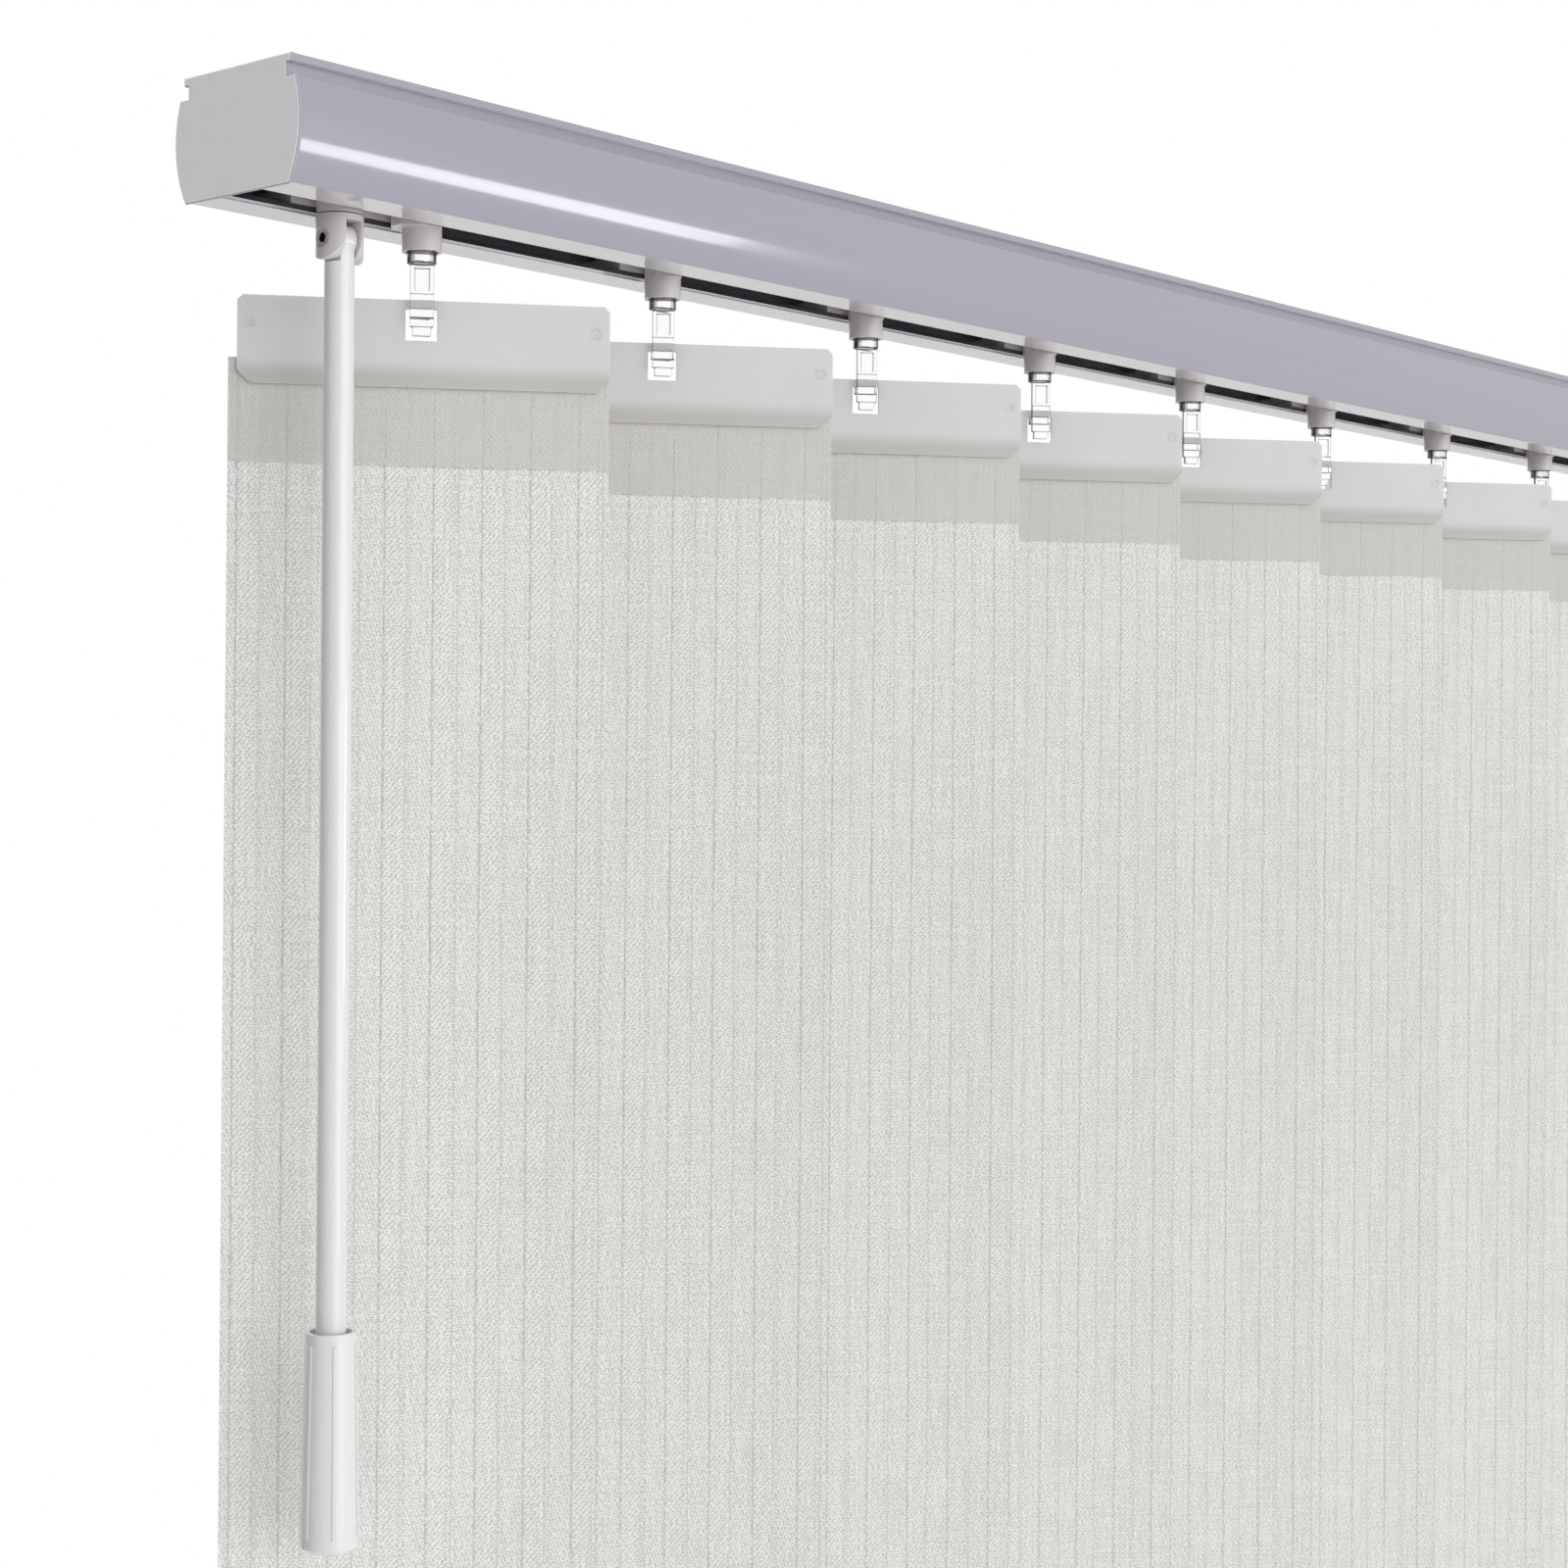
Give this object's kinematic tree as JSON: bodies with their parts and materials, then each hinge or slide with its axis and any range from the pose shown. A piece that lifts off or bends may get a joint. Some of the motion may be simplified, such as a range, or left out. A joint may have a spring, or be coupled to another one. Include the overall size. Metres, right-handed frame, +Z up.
{
  "type": "vertical blind",
  "caption": "Head rail with sliding carriers that hang upright cloth slats from clear hooks; a hanging wand turns the slats and draws them along the rail.",
  "frame": {"origin": "middle of the rail's top face, which goes against the ceiling or the brackets", "axes": "+X along the rail away from the wand end, -Y towards the room, +Z up"},
  "size_m": [0.7654, 0.0577, 0.914],
  "materials": {
    "rail": "glossy anodised lavender grey",
    "cap": "satin moulded light grey",
    "carrier": "translucent white nylon",
    "clear": "clear polycarbonate",
    "hanger": "translucent white sheet",
    "cloth": "off-white herringbone weave",
    "wand": "glossy white",
    "steel": "bright",
    "gear": "natural acetal",
    "rod": "plain extruded"
  },
  "bodies": {
    "root": {"head_rail": "rail", "end_cap_left": "cap", "end_cap_right": "cap", "carrier_9": "carrier"},
    "lead": {"carrier_1": "carrier", "wand_carrier": "carrier"},
    "slider_2": {"carrier_2": "carrier"},
    "slider_3": {"carrier_3": "carrier"},
    "slider_4": {"carrier_4": "carrier"},
    "slider_5": {"carrier_5": "carrier"},
    "slider_6": {"carrier_6": "carrier"},
    "slider_7": {"carrier_7": "carrier"},
    "slider_8": {"carrier_8": "carrier"},
    "vane_1": {"hook_1": "clear", "hanger_1": "hanger", "slat_1": "cloth"},
    "worm_1": {"tilt_worm_1": "gear"},
    "vane_2": {"hook_2": "clear", "hanger_2": "hanger", "slat_2": "cloth"},
    "worm_2": {"tilt_worm_2": "gear"},
    "vane_3": {"hook_3": "clear", "hanger_3": "hanger", "slat_3": "cloth"},
    "worm_3": {"tilt_worm_3": "gear"},
    "vane_4": {"hook_4": "clear", "hanger_4": "hanger", "slat_4": "cloth"},
    "worm_4": {"tilt_worm_4": "gear"},
    "vane_5": {"hook_5": "clear", "hanger_5": "hanger", "slat_5": "cloth"},
    "worm_5": {"tilt_worm_5": "gear"},
    "vane_6": {"hook_6": "clear", "hanger_6": "hanger", "slat_6": "cloth"},
    "worm_6": {"tilt_worm_6": "gear"},
    "vane_7": {"hook_7": "clear", "hanger_7": "hanger", "slat_7": "cloth"},
    "worm_7": {"tilt_worm_7": "gear"},
    "vane_8": {"hook_8": "clear", "hanger_8": "hanger", "slat_8": "cloth"},
    "worm_8": {"tilt_worm_8": "gear"},
    "vane_9": {"hook_9": "clear", "hanger_9": "hanger", "slat_9": "cloth"},
    "worm_9": {"tilt_worm_9": "gear"},
    "rod": {"tilt_rod": "rod"},
    "rod_gear_body": {"rod_gear": "gear"},
    "yoke": {"wand_yoke": "carrier", "wand_gear": "gear", "wand_pin_screw": "steel"},
    "wand": {"wand_tip": "wand", "wand_rod": "wand", "wand_grip": "wand"}
  },
  "joints": [
    {"name": "traverse", "type": "slide", "parent": "root", "child": "lead", "axis": [1, 0, 0], "range_m": [0, 0.48]},
    {"name": "traverse_2", "type": "slide", "parent": "root", "child": "slider_2", "axis": [1, 0, 0], "range_m": [0, 0.42]},
    {"name": "traverse_3", "type": "slide", "parent": "root", "child": "slider_3", "axis": [1, 0, 0], "range_m": [0, 0.36]},
    {"name": "traverse_4", "type": "slide", "parent": "root", "child": "slider_4", "axis": [1, 0, 0], "range_m": [0, 0.3]},
    {"name": "traverse_5", "type": "slide", "parent": "root", "child": "slider_5", "axis": [1, 0, 0], "range_m": [0, 0.24]},
    {"name": "traverse_6", "type": "slide", "parent": "root", "child": "slider_6", "axis": [1, 0, 0], "range_m": [0, 0.18]},
    {"name": "traverse_7", "type": "slide", "parent": "root", "child": "slider_7", "axis": [1, 0, 0], "range_m": [0, 0.12]},
    {"name": "traverse_8", "type": "slide", "parent": "root", "child": "slider_8", "axis": [1, 0, 0], "range_m": [0, 0.06]},
    {"name": "tilt", "type": "hinge", "parent": "lead", "child": "vane_1", "pos_m": [-0.328, 0, 0], "axis": [0, 0, -1], "range_deg": [-18, 117]},
    {"name": "tilt_2", "type": "hinge", "parent": "slider_2", "child": "vane_2", "pos_m": [-0.246, 0, 0], "axis": [0, 0, -1], "range_deg": [-18, 117]},
    {"name": "tilt_3", "type": "hinge", "parent": "slider_3", "child": "vane_3", "pos_m": [-0.164, 0, 0], "axis": [0, 0, -1], "range_deg": [-18, 117]},
    {"name": "tilt_4", "type": "hinge", "parent": "slider_4", "child": "vane_4", "pos_m": [-0.082, 0, 0], "axis": [0, 0, -1], "range_deg": [-18, 117]},
    {"name": "tilt_5", "type": "hinge", "parent": "slider_5", "child": "vane_5", "pos_m": [0, 0, 0], "axis": [0, 0, -1], "range_deg": [-18, 117]},
    {"name": "tilt_6", "type": "hinge", "parent": "slider_6", "child": "vane_6", "pos_m": [0.082, 0, 0], "axis": [0, 0, -1], "range_deg": [-18, 117]},
    {"name": "tilt_7", "type": "hinge", "parent": "slider_7", "child": "vane_7", "pos_m": [0.164, 0, 0], "axis": [0, 0, -1], "range_deg": [-18, 117]},
    {"name": "tilt_8", "type": "hinge", "parent": "slider_8", "child": "vane_8", "pos_m": [0.246, 0, 0], "axis": [0, 0, -1], "range_deg": [-18, 117]},
    {"name": "tilt_9", "type": "hinge", "parent": "root", "child": "vane_9", "pos_m": [0.328, 0, 0], "axis": [0, 0, -1], "range_deg": [-18, 117]},
    {"name": "worm_spin_1", "type": "hinge", "parent": "lead", "child": "worm_1", "pos_m": [-0.328, 0.0085, -0.015], "axis": [1, 0, 0], "range_deg": [-360, 2340]},
    {"name": "worm_spin_2", "type": "hinge", "parent": "slider_2", "child": "worm_2", "pos_m": [-0.246, 0.0085, -0.015], "axis": [1, 0, 0], "range_deg": [-360, 2340]},
    {"name": "worm_spin_3", "type": "hinge", "parent": "slider_3", "child": "worm_3", "pos_m": [-0.164, 0.0085, -0.015], "axis": [1, 0, 0], "range_deg": [-360, 2340]},
    {"name": "worm_spin_4", "type": "hinge", "parent": "slider_4", "child": "worm_4", "pos_m": [-0.082, 0.0085, -0.015], "axis": [1, 0, 0], "range_deg": [-360, 2340]},
    {"name": "worm_spin_5", "type": "hinge", "parent": "slider_5", "child": "worm_5", "pos_m": [0, 0.0085, -0.015], "axis": [1, 0, 0], "range_deg": [-360, 2340]},
    {"name": "worm_spin_6", "type": "hinge", "parent": "slider_6", "child": "worm_6", "pos_m": [0.082, 0.0085, -0.015], "axis": [1, 0, 0], "range_deg": [-360, 2340]},
    {"name": "worm_spin_7", "type": "hinge", "parent": "slider_7", "child": "worm_7", "pos_m": [0.164, 0.0085, -0.015], "axis": [1, 0, 0], "range_deg": [-360, 2340]},
    {"name": "worm_spin_8", "type": "hinge", "parent": "slider_8", "child": "worm_8", "pos_m": [0.246, 0.0085, -0.015], "axis": [1, 0, 0], "range_deg": [-360, 2340]},
    {"name": "worm_spin_9", "type": "hinge", "parent": "root", "child": "worm_9", "pos_m": [0.328, 0.0085, -0.015], "axis": [1, 0, 0], "range_deg": [-360, 2340]},
    {"name": "rod_spin", "type": "hinge", "parent": "root", "child": "rod", "pos_m": [0, 0.0085, -0.015], "axis": [1, 0, 0], "range_deg": [-360, 2340]},
    {"name": "rod_gear_spin", "type": "hinge", "parent": "lead", "child": "rod_gear_body", "pos_m": [-0.3529, 0.0085, -0.015], "axis": [1, 0, 0], "range_deg": [-360, 2340]},
    {"name": "wand_twist", "type": "hinge", "parent": "lead", "child": "yoke", "pos_m": [-0.3529, 0, -0.0342], "axis": [0, 0, -1], "range_deg": [-360, 2340]},
    {"name": "wand_swing", "type": "hinge", "parent": "yoke", "child": "wand", "pos_m": [-0.3529, 0, -0.0342], "axis": [-1, 0, 0], "range_deg": [0, 70]}
  ],
  "couplings": [
    {"joint": "traverse_2", "follows": "traverse", "ratio": 0.875},
    {"joint": "traverse_3", "follows": "traverse", "ratio": 0.75},
    {"joint": "traverse_4", "follows": "traverse", "ratio": 0.625},
    {"joint": "traverse_5", "follows": "traverse", "ratio": 0.5},
    {"joint": "traverse_6", "follows": "traverse", "ratio": 0.375},
    {"joint": "traverse_7", "follows": "traverse", "ratio": 0.25},
    {"joint": "traverse_8", "follows": "traverse", "ratio": 0.125},
    {"joint": "tilt_2", "follows": "tilt", "ratio": 1},
    {"joint": "tilt_3", "follows": "tilt", "ratio": 1},
    {"joint": "tilt_4", "follows": "tilt", "ratio": 1},
    {"joint": "tilt_5", "follows": "tilt", "ratio": 1},
    {"joint": "tilt_6", "follows": "tilt", "ratio": 1},
    {"joint": "tilt_7", "follows": "tilt", "ratio": 1},
    {"joint": "tilt_8", "follows": "tilt", "ratio": 1},
    {"joint": "tilt_9", "follows": "tilt", "ratio": 1},
    {"joint": "worm_spin_1", "follows": "tilt", "ratio": 20},
    {"joint": "worm_spin_2", "follows": "tilt", "ratio": 20},
    {"joint": "worm_spin_3", "follows": "tilt", "ratio": 20},
    {"joint": "worm_spin_4", "follows": "tilt", "ratio": 20},
    {"joint": "worm_spin_5", "follows": "tilt", "ratio": 20},
    {"joint": "worm_spin_6", "follows": "tilt", "ratio": 20},
    {"joint": "worm_spin_7", "follows": "tilt", "ratio": 20},
    {"joint": "worm_spin_8", "follows": "tilt", "ratio": 20},
    {"joint": "worm_spin_9", "follows": "tilt", "ratio": 20},
    {"joint": "rod_spin", "follows": "tilt", "ratio": 20},
    {"joint": "rod_gear_spin", "follows": "tilt", "ratio": 20},
    {"joint": "wand_twist", "follows": "tilt", "ratio": 20}
  ]
}
